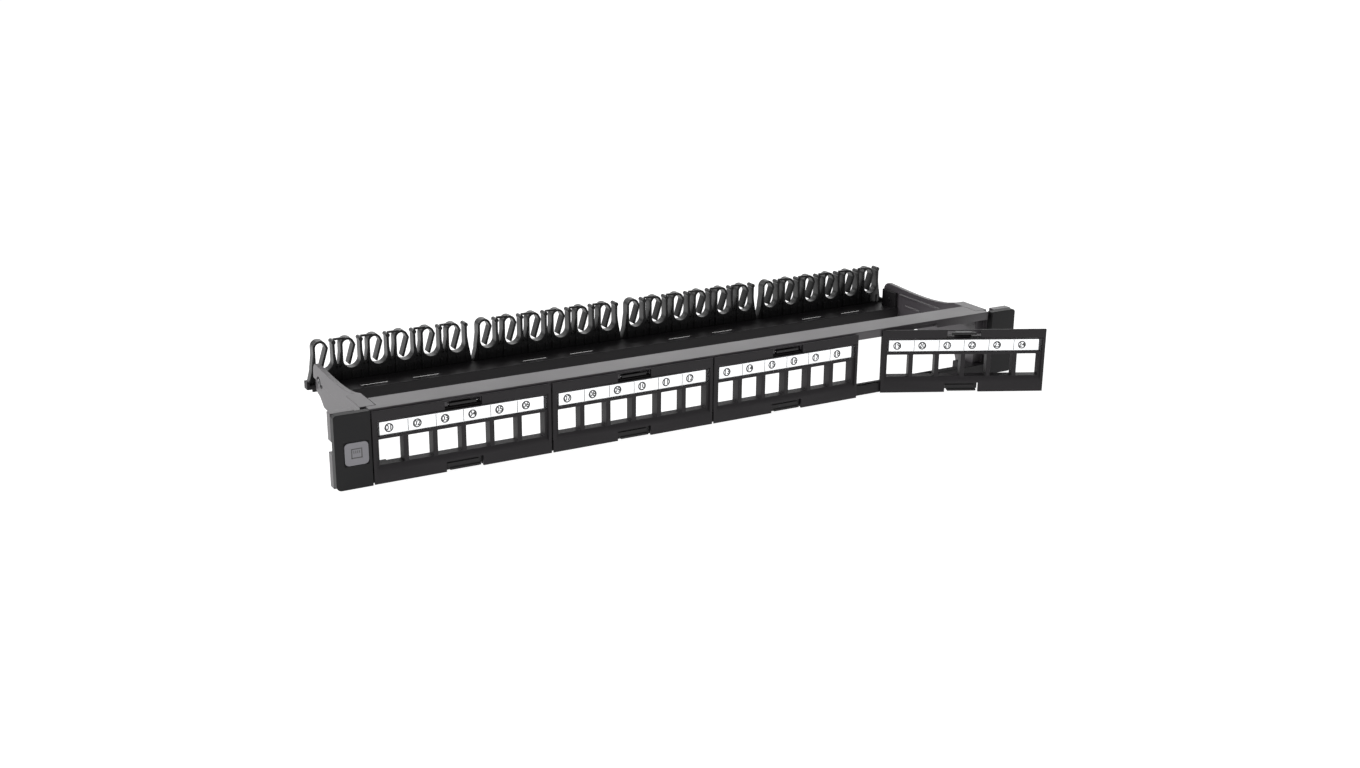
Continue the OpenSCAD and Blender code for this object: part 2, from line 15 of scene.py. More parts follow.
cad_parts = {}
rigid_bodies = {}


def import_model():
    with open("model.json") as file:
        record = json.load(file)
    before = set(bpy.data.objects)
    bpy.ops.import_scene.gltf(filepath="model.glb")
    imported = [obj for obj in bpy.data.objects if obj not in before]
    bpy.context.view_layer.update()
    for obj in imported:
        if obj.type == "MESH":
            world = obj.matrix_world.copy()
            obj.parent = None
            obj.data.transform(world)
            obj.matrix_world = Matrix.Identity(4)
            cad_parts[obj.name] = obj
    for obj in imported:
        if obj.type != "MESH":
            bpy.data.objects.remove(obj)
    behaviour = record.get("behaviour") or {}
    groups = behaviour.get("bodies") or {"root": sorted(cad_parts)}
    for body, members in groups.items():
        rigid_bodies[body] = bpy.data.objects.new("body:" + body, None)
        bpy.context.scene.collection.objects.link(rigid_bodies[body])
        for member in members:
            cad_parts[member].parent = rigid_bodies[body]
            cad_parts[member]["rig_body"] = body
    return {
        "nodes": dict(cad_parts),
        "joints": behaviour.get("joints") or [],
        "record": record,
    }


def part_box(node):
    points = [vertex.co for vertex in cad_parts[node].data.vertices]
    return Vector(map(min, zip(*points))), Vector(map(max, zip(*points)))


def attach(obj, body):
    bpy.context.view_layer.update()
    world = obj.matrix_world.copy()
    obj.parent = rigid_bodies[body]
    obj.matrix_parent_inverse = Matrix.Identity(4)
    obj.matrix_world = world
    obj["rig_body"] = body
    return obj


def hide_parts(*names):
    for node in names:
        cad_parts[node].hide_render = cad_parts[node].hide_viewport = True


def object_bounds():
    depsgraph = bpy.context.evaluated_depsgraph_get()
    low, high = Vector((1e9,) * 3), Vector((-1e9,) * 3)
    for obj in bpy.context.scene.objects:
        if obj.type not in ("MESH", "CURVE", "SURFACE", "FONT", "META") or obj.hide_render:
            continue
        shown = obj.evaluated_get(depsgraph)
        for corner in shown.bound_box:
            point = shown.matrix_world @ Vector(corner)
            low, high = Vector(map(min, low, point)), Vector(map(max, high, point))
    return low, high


bl_info = {
    "name": "Patch Panel Looks",
    "version": (1, 0, 0),
    "blender": (4, 5, 0),
    "location": "View3D > Sidebar > Patch Panel",
    "description": "Rounded mouldings, printed labels and finishes for a patch panel",
    "category": "Object",
}

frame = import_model()
CAD_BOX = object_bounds()

MM = 0.001
MODULES = range(1, 5)
PORTS = 6
PANEL_BACK = 11 * MM
PANEL_MIDDLE = 22 * MM
HINGE = Vector((2.4, 4.4, 0)) * MM


# ---------------------------------------------------------------- places


def node_body(node):
    """The body that a CAD node belongs to."""
    return frame["nodes"][node]["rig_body"]


def node_slot(node):
    """The material slot that the record gives a CAD node."""
    rows = frame["record"]["subparts"]
    return next(row["material_slot"] for row in rows if row["node"] == node)


def joint(name):
    """A joint's row in the record."""
    return next(row for row in frame["joints"] if row["name"] == name)


def module_place(number):
    """The matrix from a closed module's own coordinates to where it rests.

    There x = 0 is the left edge of the module's place, y = 0 its face and z = 0 the
    panel's bottom. A module whose swing can still close rests swung out.
    """
    swing = joint(f"module_swing_{number}")
    at_rest = -math.radians(swing["range_deg"][1])
    pivot = Vector(swing["pos_m"])
    pivot.z = -PANEL_MIDDLE
    turn = Matrix.Rotation(at_rest, 4, "Z")
    return Matrix.Translation(pivot) @ turn @ Matrix.Translation(-HINGE)


# ---------------------------------------------------------------- meshes


def finish_piece(name, bm, material, place=None, smooth_deg=50, weighted=True):
    """Turns a bmesh into an object at the origin, with its place in its mesh."""
    if place is not None:
        bmesh.ops.transform(bm, matrix=place, verts=bm.verts)
    mesh = bpy.data.meshes.new(name)
    bm.to_mesh(mesh)
    bm.free()
    mesh.materials.clear()
    mesh.materials.append(material)
    for face in mesh.polygons:
        face.use_smooth = True
        face.material_index = 0
    mesh.set_sharp_from_angle(angle=math.radians(smooth_deg))
    piece = bpy.data.objects.new(name, mesh)
    bpy.context.scene.collection.objects.link(piece)
    if weighted:
        normals = piece.modifiers.new("even_shading", "WEIGHTED_NORMAL")
        normals.keep_sharp = True
    return piece


def merged_copy(node):
    """A bmesh of a CAD node with its loose triangles joined into closed shells."""
    bm = bmesh.new()
    bm.from_mesh(frame["nodes"][node].data)
    bmesh.ops.remove_doubles(bm, verts=bm.verts, dist=0.003 * MM)
    bmesh.ops.dissolve_degenerate(bm, edges=bm.edges, dist=0.002 * MM)
    return bm


def round_edges(bm, width, segments=2, sharp_deg=35):
    """Rounds every edge sharper than an angle."""
    sharp = [
        edge
        for edge in bm.edges
        if edge.is_manifold and edge.calc_face_angle(0) > math.radians(sharp_deg)
    ]
    bmesh.ops.bevel(
        bm,
        geom=sharp,
        offset=width,
        offset_type="OFFSET",
        segments=segments,
        profile=0.5,
        affect="EDGES",
        clamp_overlap=False,
        material=-1,
        loop_slide=False,
    )


def moulded_piece(node, material, width=0.2 * MM, segments=2):
    """A rounded copy of a CAD node that stands for it and moves as it does."""
    bm = merged_copy(node)
    if width:
        round_edges(bm, width, segments)
    piece = finish_piece(f"{node}_moulded", bm, material)
    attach(piece, node_body(node))
    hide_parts(node)
    return piece


def joined(name, parts):
    """Joins several bmeshes into one."""
    whole = bmesh.new()
    for part in parts:
        mesh = bpy.data.meshes.new(name)
        part.to_mesh(mesh)
        part.free()
        whole.from_mesh(mesh)
        bpy.data.meshes.remove(mesh)
    return whole


def bar(corner, size):
    """A box as a bmesh, from its lowest corner and its size."""
    bm = bmesh.new()
    middle = Vector(corner) + Vector(size) / 2
    bmesh.ops.create_cube(bm, size=1)
    bmesh.ops.scale(bm, vec=size, verts=bm.verts)
    bmesh.ops.translate(bm, vec=middle, verts=bm.verts)
    return bm


def arc(centre, radius, start, end, steps=12):
    """Points (x, z) along an arc from one angle to another, in degrees."""
    angles = [math.radians(start + (end - start) * k / steps) for k in range(steps + 1)]
    return [(centre[0] + radius * math.cos(a), centre[1] + radius * math.sin(a)) for a in angles]


def slab(outline, front, back):
    """An outline of (x, z) points given a depth from front to back, as a bmesh."""
    bm = bmesh.new()
    face = bm.faces.new([bm.verts.new((x, front, z)) for x, z in outline])
    made = bmesh.ops.extrude_face_region(bm, geom=[face])
    moved = [item for item in made["geom"] if isinstance(item, bmesh.types.BMVert)]
    bmesh.ops.translate(bm, vec=(0, back - front, 0), verts=moved)
    bmesh.ops.recalc_face_normals(bm, faces=bm.faces)
    return bm


def ring(middle, radius, width, depth):
    """A flat ring that faces -Y, as a bmesh."""
    bm = bmesh.new()
    edges = []
    for size in (radius, radius - width):
        made = bmesh.ops.create_circle(bm, cap_ends=False, radius=size, segments=40)
        edges += list({edge for vert in made["verts"] for edge in vert.link_edges})
    bmesh.ops.bridge_loops(bm, edges=edges)
    made = bmesh.ops.extrude_face_region(bm, geom=bm.faces[:])
    lifted = [item for item in made["geom"] if isinstance(item, bmesh.types.BMVert)]
    bmesh.ops.translate(bm, vec=(0, 0, depth), verts=lifted)
    bmesh.ops.recalc_face_normals(bm, faces=bm.faces)
    upright = Matrix.Rotation(math.radians(90), 4, "X")
    bmesh.ops.transform(bm, matrix=Matrix.Translation(middle) @ upright, verts=bm.verts)
    return bm


def lettering(text, middle, height, depth, bold):
    """Plain characters that face -Y, as a bmesh."""
    curve = bpy.data.curves.new("lettering", "FONT")
    curve.body = text
    curve.size = height
    curve.align_x = "CENTER"
    curve.align_y = "CENTER"
    curve.extrude = depth / 2
    curve.offset = bold
    curve.resolution_u = 3
    source = bpy.data.objects.new("lettering", curve)
    bpy.context.scene.collection.objects.link(source)
    bpy.context.view_layer.update()
    mesh = bpy.data.meshes.new_from_object(source)
    bm = bmesh.new()
    bm.from_mesh(mesh)
    bpy.data.objects.remove(source)
    bpy.data.curves.remove(curve)
    bpy.data.meshes.remove(mesh)
    bmesh.ops.remove_doubles(bm, verts=bm.verts, dist=0.001 * MM)
    upright = Matrix.Rotation(math.radians(90), 4, "X")
    bmesh.ops.transform(bm, matrix=Matrix.Translation(middle) @ upright, verts=bm.verts)
    return bm


# ---------------------------------------------------------------- cable combs

CLIPS = 6
CLIP_PITCH = 17.5 * MM
CLIP_DEPTH = 6.8 * MM
STRIP = 1.5 * MM
POST_X = 1.9 * MM
LIMB_X = 14.4 * MM
TROUGH = ((8.9 * MM, 37.5 * MM), 5.5 * MM)
ARCH = ((6.4 * MM, 47.1 * MM), 4.5 * MM)
SHOULDER = ((9.9 * MM, 46.3 * MM), 1.7 * MM)
TONGUE_TIP = (7.3 * MM, 34.9 * MM)
KNOB = ((15.2 * MM, 49.4 * MM), 1.4 * MM)
COMB_WIDTH = 104.8 * MM
COMB_FLARE = 1.6 * MM
COMB_BOTTOM = 24.6 * MM
COMB_FOOT = 3 * MM
FOOT_SIZE = (8 * MM, 3 * MM)
FOOT_FROM_MIDDLE = 30 * MM
FOOT_SETBACK = 1 * MM
FOOT_ROOT = 0.5 * MM
RIB_SIZE = (1.4 * MM, 5.5 * MM)
RIB_DEPTH = 0.7 * MM
WEB_INSET = 0.6 * MM
WEB_TOP = 34 * MM
GUSSET_WIDTH = 1.4 * MM
GUSSET_TOP = 43 * MM
JOINT_OVERLAP = 0.3 * MM
GUSSET_ROOT = 1 * MM
HOOK_SIZE = (7.4 * MM, 1.8 * MM, 1.2 * MM)
HOOK_REACH = 2.4 * MM
HOOK_Z = 50.8 * MM


def clip_outline(bottom):
    """Outline of a clip: post, arch, tongue, trough, limb and knob, as (x, z) points."""
    trough, trough_r = TROUGH
    centre, arch_r = ARCH
    shoulder, shoulder_r = SHOULDER
    knob, knob_r = KNOB
    step = Vector(shoulder) - Vector(centre)
    turn = math.degrees(math.atan2(step.y, step.x) + math.acos((arch_r - shoulder_r) / step.length))
    outer = math.degrees(math.acos((LIMB_X + STRIP - knob[0]) / knob_r))
    inner = math.degrees(math.acos((knob[0] - LIMB_X) / knob_r))
    return [
        (POST_X, bottom),
        (LIMB_X + STRIP, bottom),
        *arc(knob, knob_r, -outer, 180 + inner, 20),
        *arc(trough, trough_r, 0, -180, 28),
        *arc(centre, arch_r - STRIP, 180, turn, 16),
        *arc(shoulder, shoulder_r - STRIP, turn, 0, 4),
        *arc(TONGUE_TIP, STRIP / 2, 180, 360, 10),
        *arc(shoulder, shoulder_r, 0, turn, 8),
        *arc(centre, arch_r, turn, 180, 22),
    ]


def web_outline(bottom):
    """Outline of the web between the clips, open behind each trough, as (x, z) points."""
    (trough_x, trough_z), trough_r = TROUGH
    radius = trough_r + STRIP / 2
    dip = math.degrees(math.asin((trough_z - WEB_TOP) / radius))
    points = [(-COMB_FLARE, bottom), (COMB_WIDTH + COMB_FLARE, bottom), (COMB_WIDTH, WEB_TOP)]
    for k in reversed(range(CLIPS)):
        centre = (k * CLIP_PITCH + trough_x, trough_z)
        points += arc(centre, radius, -dip, dip - 180, 16)
    return points + [(POST_X / 2, WEB_TOP)]


def comb_parts(rounding):
    """The shells of one comb, with x from its first clip and y from its front."""
    bottom = COMB_BOTTOM
    rib_width, rib_height = RIB_SIZE
    rib_places = (POST_X, TROUGH[0][0] - rib_width / 2, LIMB_X)
    web = slab(web_outline(bottom), WEB_INSET, CLIP_DEPTH - WEB_INSET)
    round_edges(web, rounding / 2, 2)
    parts = [web]
    for k in range(CLIPS):
        left = k * CLIP_PITCH
        clip = slab(clip_outline(bottom), 0, CLIP_DEPTH)
        round_edges(clip, rounding, 3)
        bmesh.ops.translate(clip, vec=(left, 0, 0), verts=clip.verts)
        parts.append(clip)
        for edge, side in ((POST_X, -1), (LIMB_X + STRIP, 1)):
            inner = left + edge - side * JOINT_OVERLAP
            outer = left + edge + side * GUSSET_WIDTH
            low = WEB_TOP - GUSSET_ROOT
            outline = [(inner, low), (outer, low), (left + edge, GUSSET_TOP), (inner, GUSSET_TOP)]
            gusset = slab(outline, WEB_INSET, CLIP_DEPTH - WEB_INSET)
            round_edges(gusset, rounding / 3, 2)
            parts.append(gusset)
        size = (rib_width, RIB_DEPTH * 2, rib_height)
        ribs = [bar((left + x, -RIB_DEPTH, bottom), size) for x in rib_places]
        if k:
            ribs.append(bar((left - HOOK_REACH, 0, HOOK_Z), HOOK_SIZE))
        for rib in ribs:
            round_edges(rib, rounding / 2, 2)
        parts += ribs
    foot_width, foot_depth = FOOT_SIZE
    for side in (-1, 1):
        foot_x = COMB_WIDTH / 2 + side * FOOT_FROM_MIDDLE - foot_width / 2
        corner = (foot_x, FOOT_SETBACK, bottom - COMB_FOOT)
        foot = bar(corner, (foot_width, foot_depth, COMB_FOOT + FOOT_ROOT))
        round_edges(foot, rounding / 2, 2)
        parts.append(foot)
    return parts


# ---------------------------------------------------------------- printed labels

CARD_LEFT = 5.5 * MM
CARD_LENGTH = 100 * MM
CARD_MIDDLE_Z = 31.85 * MM
CARD_FACE = 2.17 * MM
NUMBER_FROM_LEFT = 5.4 * MM
DIVIDER_BOTTOM = 28.4 * MM
DIVIDER_HEIGHT = 6.9 * MM
INK_DEPTH = 0.03 * MM

# The mark on the badge: a socket with its contacts
MARK_SIZE = (6.4 * MM, 5.2 * MM)
MARK_LINE = 0.6 * MM
MARK_DEPTH = 0.05 * MM
MARK_ROOT = 0.02 * MM
CONTACTS = 4
CONTACT_PITCH = 1.1 * MM
CONTACT_SIZE = (0.4 * MM, 1.6 * MM)
CONTACT_RISE = 0.3 * MM


# ---------------------------------------------------------------- shader maths


class Wire:
    """A node's output, with the arithmetic that the materials use."""

    def __init__(self, graph, socket):
        self.graph = graph
        self.socket = socket

    def _math(self, operation, *values):
        return self.graph.add("ShaderNodeMath", {"operation": operation}, values)

    def __add__(self, other):
        return self._math("ADD", self, other)

    __radd__ = __add__

    def __sub__(self, other):
        return self._math("SUBTRACT", self, other)

    def __rsub__(self, other):
        return self._math("SUBTRACT", other, self)

    def __mul__(self, other):
        return self._math("MULTIPLY", self, other)

    __rmul__ = __mul__

    def clamped(self):
        return self.graph.add("ShaderNodeClamp", {}, {"Value": self})

    def smooth(self, low, high):
        """0 below low and 1 above high, with a smooth step between."""
        values = {"Value": self, "From Min": low, "From Max": high}
        return self.graph.add(
            "ShaderNodeMapRange", {"interpolation_type": "SMOOTHSTEP"}, values
        )


class Graph:
    """A node tree that is written as calls and sums."""

    def __init__(self, owner):
        owner.use_nodes = True
        self.tree = owner.node_tree
        self.tree.nodes.clear()

    def add(self, kind, settings=None, values=(), output=0):
        """Adds a node: its settings first, then its sockets' values and links."""
        node = self.tree.nodes.new(kind)
        for key, value in (settings or {}).items():
            if key == "stops":
                self._set_stops(node.color_ramp, value)
            else:
                setattr(node, key, value)
        pairs = values.items() if isinstance(values, dict) else enumerate(values)
        for key, value in pairs:
            socket = node.inputs[key]
            if isinstance(value, Wire):
                self.tree.links.new(value.socket, socket)
            else:
                socket.default_value = value
        return Wire(self, node.outputs[output]) if len(node.outputs) else node

    @staticmethod
    def _set_stops(ramp, stops):
        while len(ramp.elements) < len(stops):
            ramp.elements.new(0.5)
        for element, (place, colour) in zip(ramp.elements, stops):
            element.position = place
            element.color = colour

    def place(self):
        """Object coordinates, in metres."""
        return self.add("ShaderNodeTexCoord", output="Object")

    def noise(self, scale, detail=2.0, rough=0.5, place=None):
        values = {
            "Vector": place or self.place(),
            "Scale": scale,
            "Detail": detail,
            "Roughness": rough,
        }
        return self.add("ShaderNodeTexNoise", {}, values)

    def blend(self, share, first, second):
        """A mix of two colours."""
        values = {"Factor": share, "A": first, "B": second}
        node = self.tree.nodes.new("ShaderNodeMix")
        node.data_type = "RGBA"
        for socket in node.inputs:
            if socket.enabled and socket.name in values:
                value = values[socket.name]
                if isinstance(value, Wire):
                    self.tree.links.new(value.socket, socket)
                else:
                    socket.default_value = value
        return Wire(self, next(out for out in node.outputs if out.enabled))

    def bump(self, height, depth, strength=1.0):
        values = {"Strength": strength, "Distance": depth, "Height": height}
        return self.add("ShaderNodeBump", {}, values)

    def surface(self, **inputs):
        """A Principled shader on the material's output."""
        names = {key.replace("_", " "): value for key, value in inputs.items()}
        shader = self.add("ShaderNodeBsdfPrincipled", {}, names)
        self.add("ShaderNodeOutputMaterial", {}, {"Surface": shader})
        return shader


def colour(value, tint=(1.0, 1.0, 1.0)):
    """A grey of this linear value, with a tint."""
    return (value * tint[0], value * tint[1], value * tint[2], 1.0)


# ---------------------------------------------------------------- finishes


def moulded_plastic(name, grey, tint, rough, gloss, grain=0.35 * MM, depth=0.006 * MM):
    """Injection-moulded plastic: spark-eroded grain, slow flow marks and faint scuffs."""
    material = bpy.data.materials.new(name)
    graph = Graph(material)
    place = graph.place()
    cells = graph.noise(1 / grain, detail=3.0, place=place)
    flow = graph.noise(22.0, detail=4.0, rough=0.6, place=place)
    stretched = graph.add(
        "ShaderNodeMapping", {}, {"Vector": place, "Scale": (60.0, 900.0, 900.0)}
    )
    scuffs = graph.noise(1.0, detail=2.0, place=stretched).smooth(0.62, 0.8)
    shade = graph.blend(
        (flow * 0.6 + cells * 0.4).clamped(),
        colour(grey * 0.8, tint),
        colour(grey * 1.25, tint),
    )
    shade = graph.blend(scuffs * 0.10, shade, colour(min(grey * 3 + 0.03, 0.6), tint))
    graph.surface(
        Base_Color=shade,
        Roughness=(rough + (flow - 0.5) * 0.12 - scuffs * 0.05).clamped(),
        IOR=1.5,
        Specular_IOR_Level=gloss,
        Normal=graph.bump(cells + scuffs * 0.15, depth, 0.6),
    )
    return material


def glowing_label_card(name):
    """White label stock with a faint fibre, given a glow: painted light that makes the card
    brighter than the lamps light it.
    """
    material = bpy.data.materials.new(name)
    graph = Graph(material)
    fibre = graph.noise(4200.0, detail=4.0)
    shade = graph.blend(fibre, (0.88, 0.88, 0.89, 1.0), (0.97, 0.97, 0.97, 1.0))
    graph.surface(
        Base_Color=shade,
        Roughness=0.55 + fibre * 0.15,
        # Painted light: the card glows, as though the lamps lit it more brightly than they do
        Emission_Color=shade,
        Emission_Strength=0.52,
        Normal=graph.bump(fibre, 0.004 * MM, 0.4),
    )
    return material


def ink(name, grey, tint=(1.0, 1.0, 1.0)):
    """Printed ink that lets a little of the card through."""
    material = bpy.data.materials.new(name)
    graph = Graph(material)
    patches = graph.noise(9000.0, detail=2.0).smooth(0.35, 0.7)
    graph.surface(
        Base_Color=graph.blend(patches, colour(grey, tint), colour(grey * 1.5 + 0.01, tint)),
        Roughness=0.45 + patches * 0.15,
    )
    return material


def clear_cover(name):
    """Clear moulded plastic: see-through, with a mirror gloss that grows towards its edges."""
    material = bpy.data.materials.new(name)
    graph = Graph(material)
    waves = graph.noise(120.0, detail=1.0)
    through = graph.add("ShaderNodeBsdfTransparent", {}, {"Color": (0.985, 0.988, 0.99, 1.0)})
    values = {
        "Base Color": (0.92, 0.94, 0.96, 1.0),
        "Metallic": 1.0,
        "Roughness": 0.06 + waves * 0.05,
        "Normal": graph.bump(waves, 0.02 * MM, 0.3),
    }
    gloss = graph.add("ShaderNodeBsdfPrincipled", {}, values)
    facing = graph.add("ShaderNodeFresnel", {}, {"IOR": 1.4})
    inside = graph.add("ShaderNodeNewGeometry", output="Backfacing")
    mixed = graph.add("ShaderNodeMixShader", {}, (facing * (1 - inside), through, gloss))
    graph.add("ShaderNodeOutputMaterial", {}, {"Surface": mixed})
    return material


def black_steel(name):
    """Blackened steel with fine tool marks."""
    material = bpy.data.materials.new(name)
    graph = Graph(material)
    marks = graph.noise(3000.0, detail=2.0)
    graph.surface(
        Base_Color=graph.blend(marks, (0.06, 0.06, 0.065, 1.0), (0.14, 0.14, 0.145, 1.0)),
        Metallic=1.0,
        Roughness=0.24 + marks * 0.16,
        Normal=graph.bump(marks, 0.003 * MM, 0.4),
    )
    return material


WARM = (1.0, 0.89, 1.0)
COOL = (1.0, 0.98, 1.06)


def finish(name):
    """Makes a named finish once and hands it out after that."""
    title = f"{name}_finish"
    makers = {
        "satin_black": lambda: moulded_plastic(title, 0.045, WARM, 0.40, 0.7),
        "frame_black": lambda: moulded_plastic(title, 0.009, WARM, 0.50, 0.25),
        "comb_black": lambda: moulded_plastic(title, 0.007, COOL, 0.36, 0.40),
        "module_charcoal": lambda: moulded_plastic(title, 0.018, WARM, 0.50, 0.25),
        "latch_black": lambda: moulded_plastic(title, 0.008, WARM, 0.42, 0.35),
        "cap_charcoal": lambda: moulded_plastic(title, 0.010, COOL, 0.50, 0.22),
        "label_paper": lambda: glowing_label_card(title),
        "label_clear": lambda: clear_cover(title),
        "badge_grey": lambda: moulded_plastic(title, 0.23, COOL, 0.45, 0.4, 0.2 * MM),
        "steel": lambda: black_steel(title),
        "number_ink": lambda: ink(title, 0.015),
        "divider_ink": lambda: ink(title, 0.06),
        "badge_ink": lambda: ink(title, 0.06),
    }
    return bpy.data.materials.get(title) or makers[name]()


# ---------------------------------------------------------------- stage

CAMERA_PLACE = (-0.4908, -0.8051 - PANEL_BACK, 0.3264 - PANEL_MIDDLE)
# Degrees: turned to the right, tilted down and rolled
CAMERA_HEADING = 30.11
CAMERA_DOWN = 17.67
CAMERA_ROLL = 0.58
FLOOR_GAP = 0.2 * MM
ROOM_LIGHT = 0.3
# Each lamp's name, place, size and power in watts
SOFTBOXES = (
    ("back_softbox", (1.0, 1.9, 0.8), (2.8, 0.9), 13.0),
    ("key_softbox", (-1.3, 1.1, 1.3), (1.2, 1.0), 40.0),
    ("front_softbox", (-0.9, -1.9, 1.1), (1.8, 1.2), 6.0),
)


# ---------------------------------------------------------------- settings


class RoundingSettings(bpy.types.PropertyGroup):
    """How far each moulding's edges are rounded."""

    rail: bpy.props.FloatProperty(
        name="Rails", description="Edge radius of rails, brackets and tray",
        default=0.3 * MM, min=0, unit="LENGTH", precision=5)
    comb: bpy.props.FloatProperty(
        name="Cable clips", description="Edge radius of the cable clips",
        default=0.35 * MM, min=0, unit="LENGTH", precision=5)
    module: bpy.props.FloatProperty(
        name="Modules", description="Edge radius of the port modules",
        default=0.2 * MM, min=0, unit="LENGTH", precision=5)
    cap: bpy.props.FloatProperty(
        name="End caps", description="Edge radius of the end caps",
        default=0.4 * MM, min=0, unit="LENGTH", precision=5)


class PrintSettings(bpy.types.PropertyGroup):
    """The print on the label cards."""

    ring_radius: bpy.props.FloatProperty(
        name="Ring radius", description="Radius of the ring round a port number",
        default=2.65 * MM, min=0, unit="LENGTH", precision=5)
    line: bpy.props.FloatProperty(
        name="Line width", description="Width of the rings",
        default=0.75 * MM, min=0, unit="LENGTH", precision=5)
    divider: bpy.props.FloatProperty(
        name="Divider width", description="Width of the lines between the ports",
        default=0.4 * MM, min=0, unit="LENGTH", precision=5)
    height: bpy.props.FloatProperty(
        name="Number size", description="Type size of the port numbers",
        default=4.4 * MM, min=0, unit="LENGTH", precision=5)
    bold: bpy.props.FloatProperty(
        name="Number weight", description="How far the strokes of the numbers are widened",
        default=0.12 * MM, min=0, unit="LENGTH", precision=5)


class StageSettings(bpy.types.PropertyGroup):
    """The floor, the lights and the camera."""

    floor_size: bpy.props.FloatProperty(
        name="Floor", description="Length of the floor's sides",
        default=24.0, min=1, unit="LENGTH")
    floor_glow: bpy.props.FloatProperty(
        name="Floor glow", description="Light that the pale floor gives off",
        default=0.95, min=0)
    lens: bpy.props.FloatProperty(
        name="Lens", description="Focal length", default=42.43, min=1, unit="CAMERA")


def settings(group):
    return getattr(bpy.context.scene, f"patch_panel_{group}")


# ---------------------------------------------------------------- operators


class PANEL_OT_frame(bpy.types.Operator):
    """Rounds the rails, side brackets and tray"""

    bl_idname = "patch_panel.frame"
    bl_label = "Frame"

    def execute(self, context):
        width = settings("rounding").rail
        for node in ("top_rail", "bottom_rail", "left_bracket", "right_bracket", "rear_tray"):
            moulded_piece(node, finish(node_slot(node)), width)
        return {"FINISHED"}


class PANEL_OT_combs(bpy.types.Operator):
    """Models the four combs of cable clips with rounded edges"""

    bl_idname = "patch_panel.combs"
    bl_label = "Cable combs"

    def execute(self, context):
        for number in MODULES:
            node = f"cable_comb_{number}"
            low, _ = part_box(node)
            place = Matrix.Translation((low.x + COMB_FLARE, low.y + RIB_DEPTH, -PANEL_MIDDLE))
            bm = joined(node, comb_parts(settings("rounding").comb))
            piece = finish_piece(f"{node}_moulded", bm, finish("comb_black"), place)
            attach(piece, node_body(node))
            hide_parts(node)
        return {"FINISHED"}


class PANEL_OT_modules(bpy.types.Operator):
    """Rounds the port modules and their latches"""

    bl_idname = "patch_panel.modules"
    bl_label = "Port modules"

    def execute(self, context):
        width = settings("rounding").module
        for number in MODULES:
            moulded_piece(f"port_module_{number}", finish("module_charcoal"), width)
            for part in ("top_latch", "bottom_latch"):
                moulded_piece(f"{part}_{number}", finish("latch_black"), width)
        return {"FINISHED"}


class PANEL_OT_labels(bpy.types.Operator):
    """Prints the port numbers and finishes the cards and covers"""

    bl_idname = "patch_panel.labels"
    bl_label = "Labels"

    def execute(self, context):
        for number in MODULES:
            card = frame["nodes"][f"label_card_{number}"]
            card.data.materials.clear()
            card.data.materials.append(finish("label_paper"))
            moulded_piece(f"label_cover_{number}", finish("label_clear"), 0.15 * MM)
            self.print_card(number, settings("print"))
        return {"FINISHED"}

    def print_card(self, number, style):
        depth = INK_DEPTH
        cell = CARD_LENGTH / PORTS
        face = CARD_FACE - depth / 2
        marks = []
        lines = []
        for port in range(PORTS):
            left = CARD_LEFT + port * cell
            centre = Vector((left + NUMBER_FROM_LEFT, face, CARD_MIDDLE_Z))
            marks.append(ring(centre, style.ring_radius, style.line, depth))
            text = f"{(number - 1) * PORTS + port + 1:02d}"
            marks.append(lettering(text, centre, style.height, depth, style.bold))
            if port:
                corner = (left - style.divider / 2, face - depth / 2, DIVIDER_BOTTOM)
                lines.append(bar(corner, (style.divider, depth, DIVIDER_HEIGHT)))
        for name, parts, material in (
            ("port_numbers", marks, "number_ink"),
            ("card_dividers", lines, "divider_ink"),
        ):
            piece = finish_piece(
                f"{name}_{number}", joined(name, parts), finish(material),
                module_place(number), weighted=False)
            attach(piece, f"module_{number}")


class PANEL_OT_caps(bpy.types.Operator):
    """Rounds the end caps and the badge, and prints the badge's plain mark"""

    bl_idname = "patch_panel.caps"
    bl_label = "End caps"

    def execute(self, context):
        width = settings("rounding").cap
        for node in ("left_cap", "right_cap"):
            moulded_piece(node, finish("cap_charcoal"), width, 3)
        moulded_piece("badge", finish("badge_grey"), 0.12 * MM)
        low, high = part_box("badge")
        middle = (low + high) / 2
        width, height = MARK_SIZE
        left, bottom = middle.x - width / 2, middle.z - height / 2
        face = low.y - MARK_DEPTH
        depth = MARK_DEPTH + MARK_ROOT
        parts = [
            bar((left, face, bottom), (width, depth, MARK_LINE)),
            bar((left, face, bottom + height), (width, depth, MARK_LINE)),
            bar((left, face, bottom), (MARK_LINE, depth, height)),
            bar((left + width - MARK_LINE, face, bottom), (MARK_LINE, depth, height)),
        ]
        contact_width, contact_height = CONTACT_SIZE
        for k in range(CONTACTS):
            x = middle.x + (k - (CONTACTS - 1) / 2) * CONTACT_PITCH - contact_width / 2
            corner = (x, face, middle.z + CONTACT_RISE)
            parts.append(bar(corner, (contact_width, depth, contact_height)))
        piece = finish_piece("badge_mark", joined("badge_mark", parts), finish("badge_ink"),
                             weighted=False)
        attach(piece, "left_cap")
        return {"FINISHED"}


class PANEL_OT_fasteners(bpy.types.Operator):
    """Finishes the hinge pins and the screws"""

    bl_idname = "patch_panel.fasteners"
    bl_label = "Pins and screws"

    def execute(self, context):
        for node in ["rail_screws", "tray_screws"] + [f"hinge_pin_{n}" for n in MODULES]:
            moulded_piece(node, finish("steel"), 0.1 * MM)
        return {"FINISHED"}


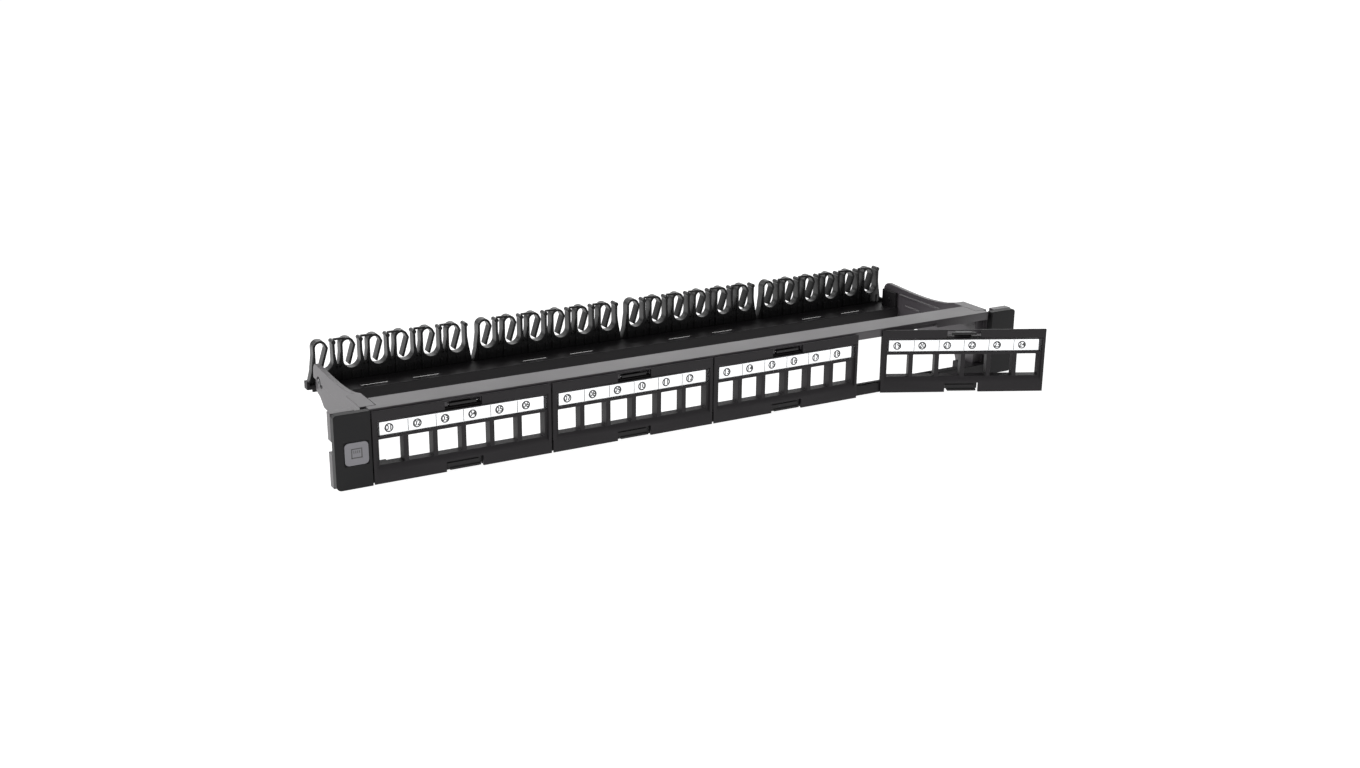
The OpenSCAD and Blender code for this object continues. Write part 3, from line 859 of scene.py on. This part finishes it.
class PANEL_OT_stage(bpy.types.Operator):
    """Sets the floor, the soft lights and the camera"""

    bl_idname = "patch_panel.stage"
    bl_label = "Stage"

    def execute(self, context):
        self.make_camera()
        self.make_floor()
        self.make_lights()
        return {"FINISHED"}

    def make_camera(self):
        data = bpy.data.cameras.new("camera")
        data.lens = settings("stage").lens
        data.sensor_width = 36
        data.clip_start = 0.01
        data.clip_end = 100
        camera = bpy.data.objects.new("camera", data)
        bpy.context.scene.collection.objects.link(camera)
        camera.matrix_world = (
            Matrix.Translation(CAMERA_PLACE)
            @ Matrix.Rotation(-math.radians(CAMERA_HEADING), 4, "Z")
            @ Matrix.Rotation(math.pi / 2 - math.radians(CAMERA_DOWN), 4, "X")
            @ Matrix.Rotation(math.radians(CAMERA_ROLL), 4, "Z")
        )
        bpy.context.scene.camera = camera

    def make_floor(self):
        low, _ = CAD_BOX
        bm = bmesh.new()
        bmesh.ops.create_grid(bm, x_segments=8, y_segments=8, size=settings("stage").floor_size / 2)
        bmesh.ops.translate(bm, vec=(0, 0, low.z - FLOOR_GAP), verts=bm.verts)
        material = bpy.data.materials.new("pale_floor")
        graph = Graph(material)
        grain = graph.noise(3.0)
        shade = graph.blend(grain, (0.33, 0.33, 0.33, 1.0), (0.37, 0.37, 0.37, 1.0))
        graph.surface(
            Base_Color=shade,
            Roughness=0.9,
            Specular_IOR_Level=0.0,
            Emission_Color=(1.0, 1.0, 1.0, 1.0),
            Emission_Strength=settings("stage").floor_glow,
        )
        finish_piece("floor", bm, material, weighted=False)

    def make_lights(self):
        world = bpy.data.worlds.new("studio")
        bpy.context.scene.world = world
        graph = Graph(world)
        values = {"Color": (1, 1, 1, 1), "Strength": ROOM_LIGHT}
        glow = graph.add("ShaderNodeBackground", {}, values)
        graph.add("ShaderNodeOutputWorld", {}, {"Surface": glow})
        for name, place, size, power in SOFTBOXES:
            data = bpy.data.lights.new(name, "AREA")
            data.shape = "RECTANGLE"
            data.size, data.size_y = size
            data.energy = power
            lamp = bpy.data.objects.new(name, data)
            lamp.location = place
            lamp.rotation_euler = (-Vector(place)).to_track_quat("-Z", "Y").to_euler()
            bpy.context.scene.collection.objects.link(lamp)
        bpy.context.scene.view_settings.view_transform = "Standard"


STEPS = ("stage", "frame", "combs", "modules", "labels", "caps", "fasteners")


class PANEL_PT_looks(bpy.types.Panel):
    """Lists the operators in the order in which they run"""

    bl_idname = "PANEL_PT_looks"
    bl_label = "Patch Panel"
    bl_space_type = "VIEW_3D"
    bl_region_type = "UI"
    bl_category = "Patch Panel"

    def draw(self, context):
        for step in STEPS:
            self.layout.operator(f"patch_panel.{step}")


GROUPS = {"rounding": RoundingSettings, "print": PrintSettings, "stage": StageSettings}
CLASSES = (
    *GROUPS.values(),
    PANEL_OT_frame,
    PANEL_OT_combs,
    PANEL_OT_modules,
    PANEL_OT_labels,
    PANEL_OT_caps,
    PANEL_OT_fasteners,
    PANEL_OT_stage,
    PANEL_PT_looks,
)


def register():
    for cls in CLASSES:
        bpy.utils.register_class(cls)
    for name, group in GROUPS.items():
        setattr(bpy.types.Scene, f"patch_panel_{name}", bpy.props.PointerProperty(type=group))


def unregister():
    for name in GROUPS:
        delattr(bpy.types.Scene, f"patch_panel_{name}")
    for cls in reversed(CLASSES):
        bpy.utils.unregister_class(cls)


def main():
    register()
    for step in STEPS:
        getattr(bpy.ops.patch_panel, step)()


if __name__ == "__main__":
    main()
